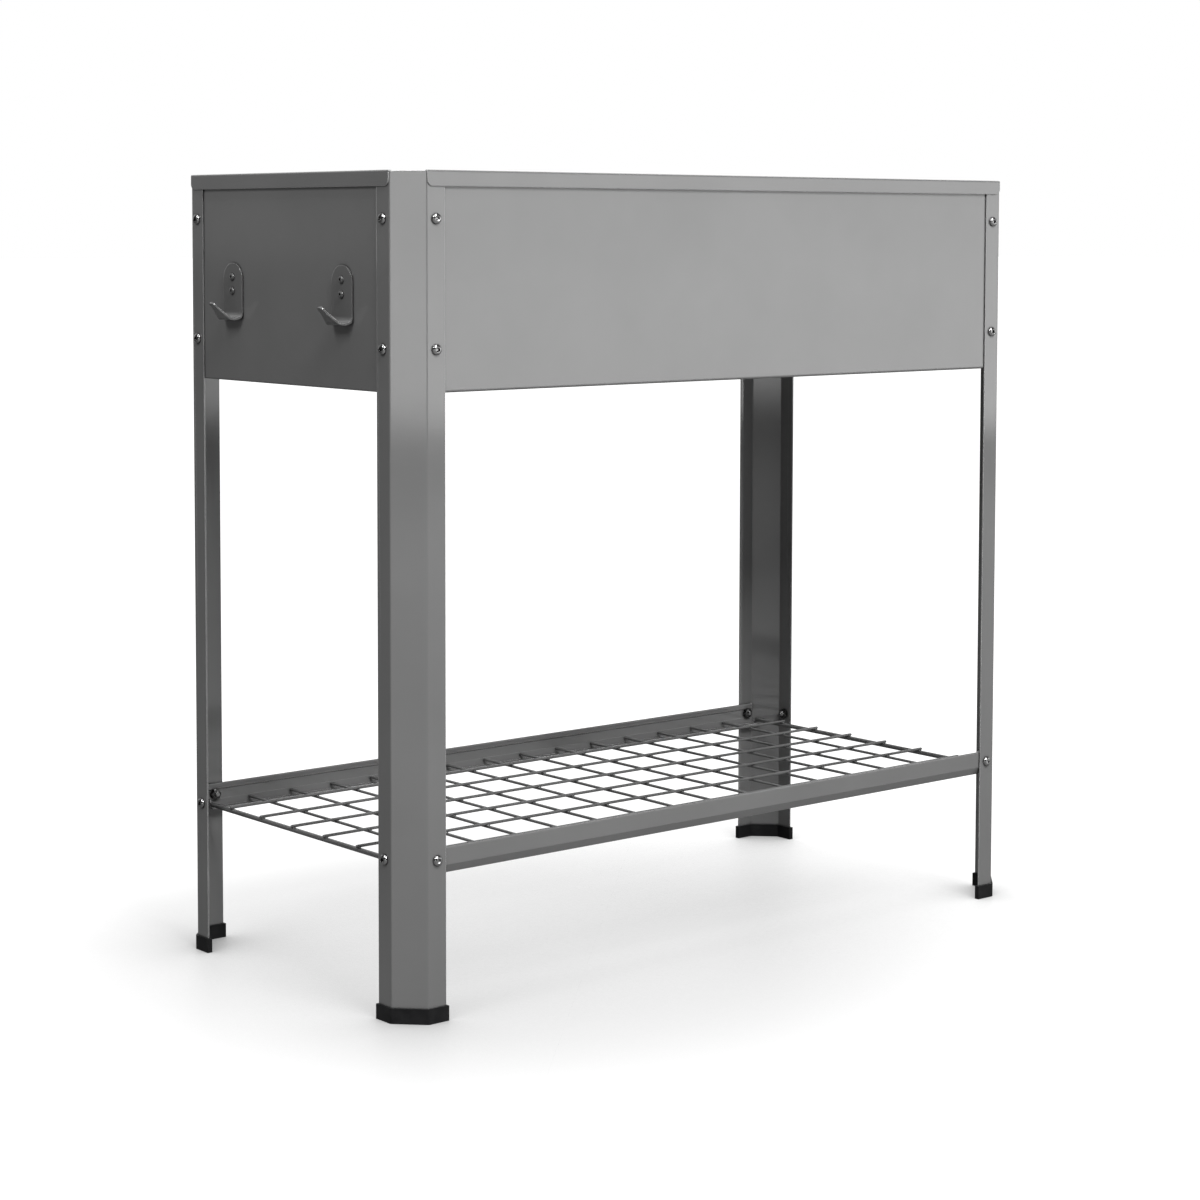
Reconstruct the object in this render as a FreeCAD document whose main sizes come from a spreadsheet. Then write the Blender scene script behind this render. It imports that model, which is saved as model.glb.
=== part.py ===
import FreeCAD, Part
import math
import os

import Sketcher

# Raised planter on legs: an open box of folded sheet on four chamfered corner legs,
# with a loose wire shelf lying between two low rails.
# Millimetres, +Z up. The origin is on the floor, under the middle of the whole outline.
# The long panels face -Y and +Y; the end panel with the two hooks faces -X.

DIMENSIONS = (
    # (alias, millimetres or count)
    ("length", 830),              # over the outer faces of the legs, along X
    ("width", 396),               # over the outer faces of the legs, along Y
    ("height", 800),              # floor to the top of the rim
    ("leg_sheet", 1.5),
    ("corner", 25),               # leg of the 45 degree corner, along each side
    ("flange", 20.5),             # flat of the leg on each side of the corner
    ("leg_bend", 1.0),            # inner bend radius
    ("panel_sheet", 1.0),
    ("panel_bend", 1.0),
    ("box_depth", 206.5),         # rim top to panel bottom
    ("lip_depth", 15),
    ("lip_corner", 6),
    ("floor_flange", 15),         # turned in under the base
    ("end_gap", 1.5),             # panel end to the folded corner of the leg
    ("base_gap", 1.5),            # base edge to the panels
    ("drain_hole", 8),
    ("drain_pitch_x", 125),
    ("drain_pitch_y", 110),
    ("stiffener_width", 50),
    ("stiffener_crown", 24),
    ("stiffener_depth", 16),      # also how far the base's rim hangs down
    ("stiffener_x", 135),
    ("foot_height", 14.5),
    ("foot_floor", 2.5),
    ("foot_wall", 1.8),
    ("foot_fit", 0.2),            # between leg and foot, each side
    ("rail_sheet", 1.2),
    ("rail_top", 165.5),
    ("rail_fold", 148.5),
    ("rail_bottom", 140.5),
    ("rail_slope", 3.5),          # how far the lower strip leans inwards
    ("rail_lip", 8),
    ("rail_hem", 6),
    ("shelf_bolt_z", 154.5),
    ("low_bolt_z", 634),
    ("high_bolt_z", 755),
    ("bolt", 6),
    ("bolt_hole", 6.5),
    ("bolt_length", 10),
    ("head_diameter", 10.5),
    ("head_height", 3.3),
    ("bolt_key", 4),
    ("nut_flats", 10),
    ("nut_height", 5),
    ("thread_fit", 0.05),
    ("screw", 4),
    ("screw_hole", 4.4),
    ("screw_length", 9),
    ("screw_head", 7.6),
    ("screw_head_height", 2.4),
    ("screw_key", 2.5),
    ("screw_nut_flats", 7),
    ("screw_nut_height", 3.2),
    ("rod", 5),                   # end rods of the shelf
    ("wire", 3),                  # thin wires of the shelf
    ("rod_nut_gap", 2.5),         # end rod to the rail's nuts
    ("wire_tail", 51),            # cross wire beyond the outermost long wire
    ("wire_overhang", 4),         # long wires beyond the end rods
    ("hem_gap", 0.6),             # cross wire end to the rail's hem
    ("rest_gap", 0.3),            # cross wire end to the rail's slope
    ("rod_setback", 3),           # end rod shorter than the cross wires
    ("hook_sheet", 2),
    ("hook_width", 34),
    ("hook_height", 57),
    ("hook_z", 654.5),
    ("hook_y", 96),
    ("hook_bend", 8),             # outer bend radius
    ("hook_reach", 28),           # back of the plate to the tip
    ("hook_tip_width", 9),
    ("hook_screw_low", 29),
    ("hook_screw_gap", 14),
)

LONG_WIRES = 6
CROSS_WIRES = 14
DRAIN_ROWS = 3
DRAIN_COLUMNS = 6
SLACK = 2.0                       # how far a cutting outline runs past what it cuts
HALF_ROOT = math.sqrt(0.5)
CHAMFER_STEP = math.sqrt(2) - 1   # shift of a 45 degree corner per millimetre of offset
RIM_ROUNDING = 0.92               # share of half the rim's thickness taken by its bends


class Size:
    """A length that carries its number and its spreadsheet expression together."""

    def __init__(self, value, text):
        self.value = float(value)
        self.text = text

    @staticmethod
    def of(other):
        return other if isinstance(other, Size) else Size(other, repr(float(other)))

    def __add__(self, other):
        other = Size.of(other)
        return Size(self.value + other.value, f"({self.text} + {other.text})")

    def __sub__(self, other):
        other = Size.of(other)
        return Size(self.value - other.value, f"({self.text} - {other.text})")

    def __mul__(self, other):
        other = Size.of(other)
        return Size(self.value * other.value, f"({self.text} * {other.text})")

    def __truediv__(self, other):
        other = Size.of(other)
        return Size(self.value / other.value, f"({self.text} / {other.text})")

    def __radd__(self, other):
        return Size.of(other) + self

    def __rsub__(self, other):
        return Size.of(other) - self

    def __rmul__(self, other):
        return Size.of(other) * self

    def __neg__(self):
        return Size.of(0) - self


doc = FreeCAD.newDocument("raised_planter")


def make_sheet():
    """The driving dimensions, one row each: alias, then value."""
    sheet = doc.addObject("Spreadsheet::Sheet", "dims")
    for row, (alias, value) in enumerate(DIMENSIONS, 1):
        sheet.set(f"A{row}", alias)
        sheet.set(f"B{row}", str(value))
        sheet.setAlias(f"B{row}", alias)
    doc.recompute()
    return sheet


sheet = make_sheet()


def dim(alias):
    return Size(sheet.get(alias), "dims." + alias)


def bind(thing, **sizes):
    """Bind properties to sizes; a double underscore in a name stands for a dot."""
    for name, size in sizes.items():
        thing.setExpression(name.replace("__", "."), Size.of(size).text)


# ---- sketches and features ---------------------------------------------------------------

def new_body(label):
    body = doc.addObject("PartDesign::Body", label)
    body.Label = label
    return body


def new_sketch(body, name, plane, offset=0):
    """A sketch on one of the body's own origin planes, moved along its normal."""
    sketch = body.newObject("Sketcher::SketchObject", name)
    support = next(f for f in body.Origin.OriginFeatures if f.Role == plane)
    sketch.AttachmentSupport = [(support, "")]
    sketch.MapMode = "FlatFace"
    bind(sketch, AttachmentOffset__Base__z=offset)
    return sketch


def pin(sketch, curve, vertex, **places):
    """Fix a vertex of a curve at a distance from the sketch's origin, in x, y or both."""
    for axis, place in places.items():
        place = Size.of(place)
        kind = "DistanceX" if axis == "x" else "DistanceY"
        index = sketch.addConstraint(Sketcher.Constraint(kind, -1, 1, curve, vertex, place.value))
        sketch.setExpression(f"Constraints[{index}]", place.text)


def flat(point):
    x, y = point
    return FreeCAD.Vector(Size.of(x).value, Size.of(y).value, 0)


def draw_polygon(sketch, points):
    first = sketch.GeometryCount
    count = len(points)
    for index, point in enumerate(points):
        following = points[(index + 1) % count]
        sketch.addGeometry(Part.LineSegment(flat(point), flat(following)), False)
    for index, (x, y) in enumerate(points):
        curve = first + index
        joined = first + (index + 1) % count
        sketch.addConstraint(Sketcher.Constraint("Coincident", curve, 2, joined, 1))
        pin(sketch, curve, 1, x=x, y=y)


def draw_circle(sketch, x, y, diameter):
    diameter = Size.of(diameter)
    circle = Part.Circle(flat((x, y)), FreeCAD.Vector(0, 0, 1), diameter.value / 2)
    curve = sketch.addGeometry(circle, False)
    index = sketch.addConstraint(Sketcher.Constraint("Diameter", curve, diameter.value))
    sketch.setExpression(f"Constraints[{index}]", diameter.text)
    pin(sketch, curve, 3, x=x, y=y)


def hexagon(flats):
    """Corner points of a hexagon with two flats square to the sketch's y axis."""
    radius = flats / math.sqrt(3)
    turns = [math.radians(60 * step) for step in range(6)]
    return [(radius * math.cos(turn), radius * math.sin(turn)) for turn in turns]


def extrude(body, kind, sketch, length, both_ways=False):
    feature = body.newObject("PartDesign::" + kind, sketch.Name + "_" + kind.lower())
    feature.Profile = sketch
    if both_ways:
        feature.SideType = "Symmetric"
    bind(feature, Length=length)
    sketch.Visibility = False
    return feature


def cut(body, sketch, length, both_ways=False):
    """A pocket, checked to take something away."""
    doc.recompute()
    before = body.Shape.Volume
    extrude(body, "Pocket", sketch, length, both_ways)
    doc.recompute()
    if not body.Shape.Volume < before - 0.1:
        raise RuntimeError(f"{body.Label}: {sketch.Name} cuts nothing")


def straight_edges(shape, axis, spots):
    """Names of the edges that run along an axis through spots given by the other two axes."""
    across = [number for number in range(3) if number != axis]
    names = []
    for number, edge in enumerate(shape.Edges, 1):
        ends = [vertex.Point for vertex in edge.Vertexes]
        if len(ends) != 2 or abs(ends[0][axis] - ends[1][axis]) < 0.05:
            continue
        for spot in spots:
            goal = flat(spot)
            if all(math.dist((end[across[0]], end[across[1]]), goal[:2]) < 0.01 for end in ends):
                names.append(f"Edge{number}")
    return names


def fillet(body, name, edges, count, radius):
    """Round named edges of the body's last feature, of which there are at least a count."""
    if len(edges) < count:
        raise RuntimeError(f"{body.Label}: {name} finds {len(edges)} of {count} edges")
    base = body.Tip
    feature = body.newObject("PartDesign::Fillet", name)
    feature.Base = (base, edges)
    bind(feature, Radius=radius)


def round_edges(body, name, axis, spots, radius):
    """Fillet the straight edges of the body that run along an axis (0, 1, 2) through spots."""
    doc.recompute()
    fillet(body, name, straight_edges(body.Tip.Shape, axis, spots), len(spots), radius)


# ---- sizes worked out from the driving ones ----------------------------------------------

half_length = dim("length") / 2
half_width = dim("width") / 2
leg_sheet = dim("leg_sheet")
panel_sheet = dim("panel_sheet")
rail_sheet = dim("rail_sheet")
corner = dim("corner")
flange_end = corner + dim("flange")
flange_middle = corner + dim("flange") / 2
box_bottom = dim("height") - dim("box_depth")
floor_flange_top = box_bottom + panel_sheet
base_underside = floor_flange_top + dim("stiffener_depth")
leg_top = dim("height") - panel_sheet
panel_inside = leg_sheet + panel_sheet
hook_stand_out = dim("hook_reach") - leg_sheet

# The hooks stand out on one end only, so the whole is moved to centre its outline.
shift_x = (hook_stand_out - dim("head_height")) / 2

# A cross wire ends just clear of the rail's hem, and so comes to rest on the rail's slope.
wire_end_depth = leg_sheet + 2 * rail_sheet + dim("hem_gap")
slope_height = dim("rail_fold") - dim("rail_bottom") - rail_sheet
rest_depth = wire_end_depth - dim("rest_gap") - leg_sheet - rail_sheet
cross_wire_z = dim("rail_fold") - slope_height * rest_depth / dim("rail_slope") + dim("wire") / 2
long_wire_z = cross_wire_z + dim("wire")
end_rod_z = cross_wire_z + (dim("wire") - dim("rod")) / 2
cross_wire_half = half_width - wire_end_depth

# An end rod passes beside the rail's nuts, whose corners point along the rail.
rod_inset = flange_middle - dim("nut_flats") / math.sqrt(3) - dim("rod_nut_gap") - dim("rod") / 2
end_rod_x = half_length - rod_inset

# Each side: its turn about Z from the front, its distance from the middle, half its run.
SIDES = {
    "front": (0, half_width, half_length),
    "right_end": (90, half_length, half_width),
    "back": (180, half_width, half_length),
    "left_end": (270, half_length, half_width),
}
CORNERS = {
    "front_left": (0, -1, -1),
    "front_right": (90, 1, -1),
    "back_right": (180, 1, 1),
    "back_left": (270, -1, 1),
}
UP = FreeCAD.Vector(0, 0, 1)


def turn_about_z(thing, degrees):
    thing.Placement = FreeCAD.Placement(FreeCAD.Vector(), FreeCAD.Rotation(UP, degrees))


def place_on_side(thing, side, depth=0, along=0, height=0):
    """Put a thing drawn with -Y outwards on a side, at a depth behind the legs' outer face."""
    degrees, reach, _ = SIDES[side]
    turn_about_z(thing, degrees)
    out_x = round(math.sin(math.radians(degrees)))
    out_y = -round(math.cos(math.radians(degrees)))
    bind(thing,
         Placement__Base__x=shift_x + out_x * (reach - depth) - out_y * Size.of(along),
         Placement__Base__y=out_y * (reach - depth) + out_x * Size.of(along),
         Placement__Base__z=height)


def place_on_corner(thing, where):
    """Put a thing drawn in the first quadrant of a corner on one of the four corners."""
    degrees, way_x, way_y = CORNERS[where]
    turn_about_z(thing, degrees)
    bind(thing,
         Placement__Base__x=shift_x + way_x * half_length,
         Placement__Base__y=way_y * half_width)


def corner_vertices(depth):
    """The two corner points of the leg's section, at a depth behind its outer face."""
    along = corner + CHAMFER_STEP * depth
    return [(along, depth), (depth, along)]


def corner_section(outer, inner, end):
    """The leg's section between two depths: a flange, the 45 degree corner, a flange."""
    near_x, near_y = corner_vertices(outer)
    far_x, far_y = corner_vertices(inner)
    return [(end, outer), near_x, near_y, (outer, end), (inner, end), far_y, far_x, (end, inner)]


# ---- legs and feet -----------------------------------------------------------------------

def make_leg(where):
    body = new_body("leg_" + where)
    section = new_sketch(body, "leg_section", "XY_Plane", dim("foot_floor"))
    draw_polygon(section, corner_section(Size.of(0), leg_sheet, flange_end))
    extrude(body, "Pad", section, leg_top - dim("foot_floor"))
    round_edges(body, "inner_bends", 2, corner_vertices(leg_sheet), dim("leg_bend"))
    outer_bend = dim("leg_bend") + leg_sheet
    round_edges(body, "outer_bends", 2, corner_vertices(Size.of(0)), outer_bend)
    for plane in ("XZ_Plane", "YZ_Plane"):
        holes = new_sketch(body, "bolt_holes", plane)
        for level in ("shelf_bolt_z", "low_bolt_z", "high_bolt_z"):
            draw_circle(holes, flange_middle, dim(level), dim("bolt_hole"))
        cut(body, holes, 4 * leg_sheet, both_ways=True)
    place_on_corner(body, where)
    return body


def make_foot(where):
    body = new_body("foot_" + where)
    fit = dim("foot_fit")
    skin = fit + dim("foot_wall")
    outline = new_sketch(body, "foot_outline", "XY_Plane")
    draw_polygon(outline, corner_section(-skin, leg_sheet + skin, flange_end + skin))
    extrude(body, "Pad", outline, dim("foot_height"))
    round_edges(body, "outer_corners", 2, corner_vertices(-skin), 2 * skin)
    slot = new_sketch(body, "leg_slot", "XY_Plane", dim("foot_height"))
    draw_polygon(slot, corner_section(-fit, leg_sheet + fit, flange_end + fit))
    cut(body, slot, dim("foot_height") - dim("foot_floor"))
    place_on_corner(body, where)
    return body


# ---- the box -----------------------------------------------------------------------------

def make_panel(side):
    """A wall behind the legs' flanges; its top is folded out and down over them."""
    body = new_body(side + "_panel")
    _, _, half_run = SIDES[side]
    top = dim("height")
    flange_depth = leg_sheet + dim("floor_flange")
    wall = new_sketch(body, "wall", "YZ_Plane")
    draw_polygon(wall, [
        (leg_sheet, leg_top), (leg_sheet, box_bottom), (flange_depth, box_bottom),
        (flange_depth, floor_flange_top), (panel_inside, floor_flange_top), (panel_inside, leg_top)])
    wall_half = half_run - corner - dim("end_gap")
    extrude(body, "Pad", wall, 2 * wall_half, both_ways=True)

    rim = new_sketch(body, "rim", "YZ_Plane")
    lip_bottom = top - dim("lip_depth")
    rim_half = half_run - corner
    draw_polygon(rim, [
        (-panel_sheet, lip_bottom), (-panel_sheet, top), (panel_inside, top),
        (panel_inside, leg_top), (0, leg_top), (0, lip_bottom)])
    extrude(body, "Pad", rim, 2 * rim_half, both_ways=True)

    bend = dim("panel_bend")
    round_edges(body, "inner_floor_bend", 0, [(panel_inside, floor_flange_top)], bend)
    round_edges(body, "outer_floor_bend", 0, [(leg_sheet, box_bottom)], bend + panel_sheet)
    rim_bend = (panel_inside + panel_sheet) / 2 * RIM_ROUNDING
    round_edges(body, "rim_bends", 0, [(-panel_sheet, top), (panel_inside, top)], rim_bend)
    lip_ends = [(-rim_half, lip_bottom), (rim_half, lip_bottom)]
    round_edges(body, "lip_corners", 1, lip_ends, dim("lip_corner"))

    holes = new_sketch(body, "bolt_holes", "XZ_Plane", -leg_sheet)
    for way in (-1, 1):
        for level in ("low_bolt_z", "high_bolt_z"):
            place = way * (half_run - flange_middle)
            draw_circle(holes, place, dim(level), dim("bolt_hole"))
        if side == "left_end":
            for height in hook_screw_heights():
                draw_circle(holes, way * dim("hook_y"), height, dim("screw_hole"))
    cut(body, holes, 4 * panel_sheet, both_ways=True)
    place_on_side(body, side)
    return body


def base_outline(depth):
    """Corner points of the base at a depth behind its outer faces: a box cut back at the legs."""
    edge_x = half_length - panel_inside - dim("base_gap") - depth
    edge_y = half_width - panel_inside - dim("base_gap") - depth
    clear = leg_sheet + dim("base_gap") + depth
    cut_back = corner + math.sqrt(2) * clear - panel_inside - dim("base_gap") - depth
    points = []
    for way_x, way_y in ((1, 1), (-1, 1), (-1, -1), (1, -1)):
        beside = (way_x * edge_x, way_y * (half_width - cut_back))
        before = (way_x * (half_length - cut_back), way_y * edge_y)
        points += [beside, before] if way_x * way_y > 0 else [before, beside]
    return points


def make_base():
    """The floor of the box: a pan turned upside down, whose rims stand on the panels' flanges.

    It has rows of drain holes.
    """
    body = new_body("base_panel")
    outside = new_sketch(body, "pan_outside", "XY_Plane", floor_flange_top)
    draw_polygon(outside, base_outline(Size.of(0)))
    extrude(body, "Pad", outside, dim("stiffener_depth") + panel_sheet)
    inside = new_sketch(body, "pan_inside", "XY_Plane", base_underside)
    draw_polygon(inside, base_outline(panel_sheet))
    cut(body, inside, 2 * dim("stiffener_depth"))

    row = new_sketch(body, "drain_row", "XY_Plane", base_underside)
    first_x = -dim("drain_pitch_x") * (DRAIN_COLUMNS - 1) / 2
    for step in range(DRAIN_ROWS):
        place_y = dim("drain_pitch_y") * (step - (DRAIN_ROWS - 1) / 2)
        draw_circle(row, first_x, place_y, dim("drain_hole"))
    cut(body, row, 4 * panel_sheet, both_ways=True)
    pattern = body.newObject("PartDesign::LinearPattern", "drain_columns")
    pattern.Originals = [body.Tip]
    pattern.Direction = (next(f for f in body.Origin.OriginFeatures if f.Role == "X_Axis"), [""])
    pattern.Occurrences = DRAIN_COLUMNS
    bind(pattern, Length=dim("drain_pitch_x") * (DRAIN_COLUMNS - 1))
    body.Tip = pattern
    bind(body, Placement__Base__x=shift_x)
    return body


def make_stiffener(side, way):
    """A hat section welded inside the pan, which stands on the front and back panels' flanges."""
    body = new_body("base_stiffener_" + side)
    sheet_thick = panel_sheet
    brim = dim("stiffener_width") / 2
    crown = dim("stiffener_crown") / 2
    low = floor_flange_top
    outside = [(crown, base_underside - sheet_thick), (crown, low)]
    inside = [(crown - sheet_thick, low + sheet_thick), (crown - sheet_thick, base_underside)]
    right_half = [(brim, base_underside - sheet_thick)] + outside
    left_half = [(-x, z) for x, z in reversed(right_half)]
    inner_half = [(-x, z) for x, z in reversed(inside)]
    section = new_sketch(body, "hat_section", "XZ_Plane")
    draw_polygon(section, right_half + left_half + [(-brim, base_underside)] + inner_half
                 + inside + [(brim, base_underside)])
    half_run = half_width - panel_inside - dim("base_gap") - panel_sheet - dim("end_gap")
    extrude(body, "Pad", section, 2 * half_run, both_ways=True)
    bind(body, Placement__Base__x=shift_x + way * dim("stiffener_x"))
    return body


# ---- hooks -------------------------------------------------------------------------------

def hook_screw_heights():
    low = dim("hook_z") + dim("hook_screw_low")
    return low, low + dim("hook_screw_gap")


def draw_hook_profile(sketch):
    """A strip that runs down, bends outwards and rises at 45 degrees to the tip."""
    thick = dim("hook_sheet")
    reach = dim("hook_reach")
    bend = dim("hook_bend")
    inner_bend = bend - thick
    top = dim("hook_height")
    tip = reach - 2 * HALF_ROOT * bend
    plate = [(-thick, bend), (-thick, top), (Size.of(0), top), (Size.of(0), bend)]
    arm = [
        (-bend - HALF_ROOT * bend, bend - HALF_ROOT * bend),
        (-reach, tip),
        (HALF_ROOT * thick - reach, tip + HALF_ROOT * thick),
        (-bend - HALF_ROOT * inner_bend, bend - HALF_ROOT * inner_bend)]
    for ends in (plate, arm):
        for start, end in zip(ends, ends[1:]):
            sketch.addGeometry(Part.LineSegment(flat(start), flat(end)), False)
    for first, ends in ((0, plate), (3, arm)):
        for step in range(3):
            pin(sketch, first + step, 1, x=ends[step][0], y=ends[step][1])
        for step in range(2):
            sketch.addConstraint(Sketcher.Constraint("Coincident", first + step, 2, first + step + 1, 1))
        pin(sketch, first + 2, 2, x=ends[3][0], y=ends[3][1])
    # the outer arc joins the arm's start to the plate's end, the inner one the other two
    centre = flat((-bend, bend))
    for radius, left, right in ((bend, (3, 1), (2, 2)), (inner_bend, (5, 2), (0, 1))):
        circle = Part.Circle(centre, UP, radius.value)
        arc = sketch.addGeometry(Part.ArcOfCircle(circle, 1.25 * math.pi, 2 * math.pi), False)
        sketch.addConstraint(Sketcher.Constraint("Coincident", arc, 1, left[0], left[1]))
        sketch.addConstraint(Sketcher.Constraint("Coincident", arc, 2, right[0], right[1]))
        pin(sketch, arc, 3, y=bend)


def tip_edges(body, tip_half, thick):
    """Names of the hook's two edges that run through the sheet at the corners of its tip."""
    doc.recompute()
    names = []
    for number, edge in enumerate(body.Tip.Shape.Edges, 1):
        beside = all(abs(abs(vertex.Point.x) - tip_half.value) < 0.01 for vertex in edge.Vertexes)
        slanted = abs(edge.Vertexes[0].Point.z - edge.Vertexes[-1].Point.z) > 0.01
        if beside and slanted and abs(edge.Length - thick.value) < 0.01:
            names.append(f"Edge{number}")
    return names


def make_hook(name, way):
    body = new_body("hook_" + name)
    thick = dim("hook_sheet")
    half = dim("hook_width") / 2
    reach = dim("hook_reach")
    tip_half = dim("hook_tip_width") / 2
    profile = new_sketch(body, "hook_profile", "YZ_Plane")
    draw_hook_profile(profile)
    extrude(body, "Pad", profile, 2 * half, both_ways=True)
    top = dim("hook_height")
    round_edges(body, "plate_top", 1, [(-half, top), (half, top)], half * 0.98)
    taper = new_sketch(body, "arm_taper", "XY_Plane")
    for side in (-1, 1):
        draw_polygon(taper, [
            (side * half, -thick), (side * (half + SLACK), -thick),
            (side * (half + SLACK), -(reach + SLACK)), (side * tip_half, -(reach + SLACK)),
            (side * tip_half, 3 * thick - reach)])
    cut(body, taper, 2 * (top + SLACK), both_ways=True)
    fillet(body, "tip_corners", tip_edges(body, tip_half, thick), 2, tip_half * 0.8)
    holes = new_sketch(body, "screw_holes", "XZ_Plane")
    for height in hook_screw_heights():
        draw_circle(holes, 0, height - dim("hook_z"), dim("screw_hole"))
    cut(body, holes, 4 * thick, both_ways=True)
    place_on_side(body, "left_end", depth=leg_sheet, along=way * dim("hook_y"),
                  height=dim("hook_z"))
    return body


# ---- shelf rails and shelf ---------------------------------------------------------------

def make_rail(side):
    """A low rail with a closed hem on top and a lower strip that leans inwards."""
    body = new_body("shelf_rail_" + side)
    _, _, half_run = SIDES[side]
    inside = leg_sheet + rail_sheet
    top = dim("rail_top")
    bottom = dim("rail_bottom")
    hem = top - dim("rail_hem")
    foot = leg_sheet + dim("rail_slope")
    section = new_sketch(body, "rail_section", "YZ_Plane")
    draw_polygon(section, [
        (leg_sheet, top), (inside + rail_sheet, top), (inside + rail_sheet, hem), (inside, hem),
        (inside, dim("rail_fold")), (foot + rail_sheet, bottom + rail_sheet),
        (foot + rail_sheet + dim("rail_lip"), bottom + rail_sheet),
        (foot + rail_sheet + dim("rail_lip"), bottom), (foot, bottom),
        (leg_sheet, dim("rail_fold"))])
    rail_half = half_run - corner - dim("end_gap")
    extrude(body, "Pad", section, 2 * rail_half, both_ways=True)
    crest = [(leg_sheet, top), (inside + rail_sheet, top)]
    round_edges(body, "hem_crest", 0, crest, rail_sheet * RIM_ROUNDING)
    holes = new_sketch(body, "bolt_holes", "XZ_Plane", -leg_sheet)
    for way in (-1, 1):
        draw_circle(holes, way * (half_run - flange_middle), dim("shelf_bolt_z"), dim("bolt_hole"))
    cut(body, holes, 4 * rail_sheet, both_ways=True)
    place_on_side(body, side)
    return body


def make_bar(name, thickness, half_run, axis, x, y, z):
    """A round bar of the shelf, centred on a point, along X or Y."""
    bar = doc.addObject("Part::Cylinder", name)
    bar.Label = name
    bar.Placement.Rotation = FreeCAD.Rotation(UP, FreeCAD.Vector(*axis))
    bind(bar, Radius=thickness / 2, Height=2 * half_run,
         Placement__Base__x=shift_x + x - axis[0] * half_run,
         Placement__Base__y=y - axis[1] * half_run,
         Placement__Base__z=z)
    return bar


def gather(name, pieces):
    """One node that holds several separate solids."""
    group = doc.addObject("Part::Compound", name)
    group.Label = name
    group.Links = pieces
    return group


def make_end_rod(name, way):
    half_run = cross_wire_half - dim("rod_setback")
    return make_bar("shelf_end_rod_" + name, dim("rod"), half_run, (0, 1, 0),
                    way * end_rod_x, Size.of(0), end_rod_z)


def make_cross_wires():
    pitch = 2 * end_rod_x / (CROSS_WIRES + 1)
    wires = []
    for step in range(CROSS_WIRES):
        place_x = pitch * (step - (CROSS_WIRES - 1) / 2)
        wires.append(make_bar(f"cross_wire_{step + 1}", dim("wire"), cross_wire_half, (0, 1, 0),
                              place_x, Size.of(0), cross_wire_z))
    return gather("shelf_cross_wires", wires)


def make_long_wires():
    half_run = end_rod_x + dim("wire_overhang")
    pitch = 2 * (cross_wire_half - dim("wire_tail")) / (LONG_WIRES - 1)
    wires = []
    for step in range(LONG_WIRES):
        place_y = pitch * (step - (LONG_WIRES - 1) / 2)
        wires.append(make_bar(f"long_wire_{step + 1}", dim("wire"), half_run, (1, 0, 0),
                              Size.of(0), place_y, long_wire_z))
    return gather("shelf_long_wires", wires)


# ---- fasteners ---------------------------------------------------------------------------

def make_screw(name, shank, length, head, head_height, key):
    """A domed screw along Z with its head over z = 0 and a hexagon socket."""
    body = new_body(name)
    half = new_sketch(body, "half_section", "XZ_Plane")
    draw_polygon(half, [
        (0, -length), (shank / 2, -length), (shank / 2, 0), (head / 2, 0),
        (head / 2, head_height), (0, head_height)])
    turned = body.newObject("PartDesign::Revolution", "turned")
    turned.Profile = half
    turned.ReferenceAxis = (half, ["V_Axis"])
    doc.recompute()
    rim = [f"Edge{number}" for number, edge in enumerate(turned.Shape.Edges, 1)
           if abs(edge.BoundBox.ZMin - head_height.value) < 0.01
           and abs(edge.BoundBox.ZMax - head_height.value) < 0.01
           and edge.BoundBox.XLength > head.value * 0.99]
    dome = body.newObject("PartDesign::Fillet", "dome")
    dome.Base = (turned, rim)
    bind(dome, Radius=head_height * 0.85)
    socket = new_sketch(body, "socket", "XY_Plane", head_height)
    draw_polygon(socket, hexagon(key))
    cut(body, socket, head_height * 0.6)
    return body


def make_nut(name, flats, height, bore):
    """A hexagon nut along Z, its bearing face on z = 0 and its body below it."""
    body = new_body(name)
    outline = new_sketch(body, "hexagon", "XY_Plane", -height)
    draw_polygon(outline, hexagon(flats))
    draw_circle(outline, 0, 0, bore)
    extrude(body, "Pad", outline, height)
    return body


def bolt_spots(sides, levels, depth):
    """Places on the legs' flanges, each turned so that +Z points out of its side."""
    spots = []
    for side in sides:
        degrees, reach, half_run = SIDES[side]
        turn = FreeCAD.Rotation(UP, degrees)
        out = turn.multVec(FreeCAD.Vector(0, -1, 0))
        along = turn.multVec(FreeCAD.Vector(1, 0, 0))
        for way in (-1, 1):
            for level in levels:
                foot = out * (reach - depth).value + along * (way * (half_run - flange_middle).value)
                spots.append(placed(foot, level.value, out))
    return spots


def hook_screw_spots(depth):
    out = FreeCAD.Vector(-1, 0, 0)
    spots = []
    for way in (-1, 1):
        for height in hook_screw_heights():
            foot = FreeCAD.Vector(-(half_length - depth).value, way * dim("hook_y").value, 0)
            spots.append(placed(foot, height.value, out))
    return spots


def placed(foot, height, out):
    place = foot + FreeCAD.Vector(shift_x.value, 0, height)
    return FreeCAD.Placement(place, FreeCAD.Rotation(UP, out))


def scatter(name, pattern, spots):
    """One node with a copy of the pattern piece at each spot."""
    doc.recompute()
    copies = []
    for spot in spots:
        copy = pattern.Shape.copy()
        copy.Placement = spot
        copies.append(copy)
    group = doc.addObject("Part::Feature", name)
    group.Label = name
    group.Shape = Part.makeCompound(copies)
    return group


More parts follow.
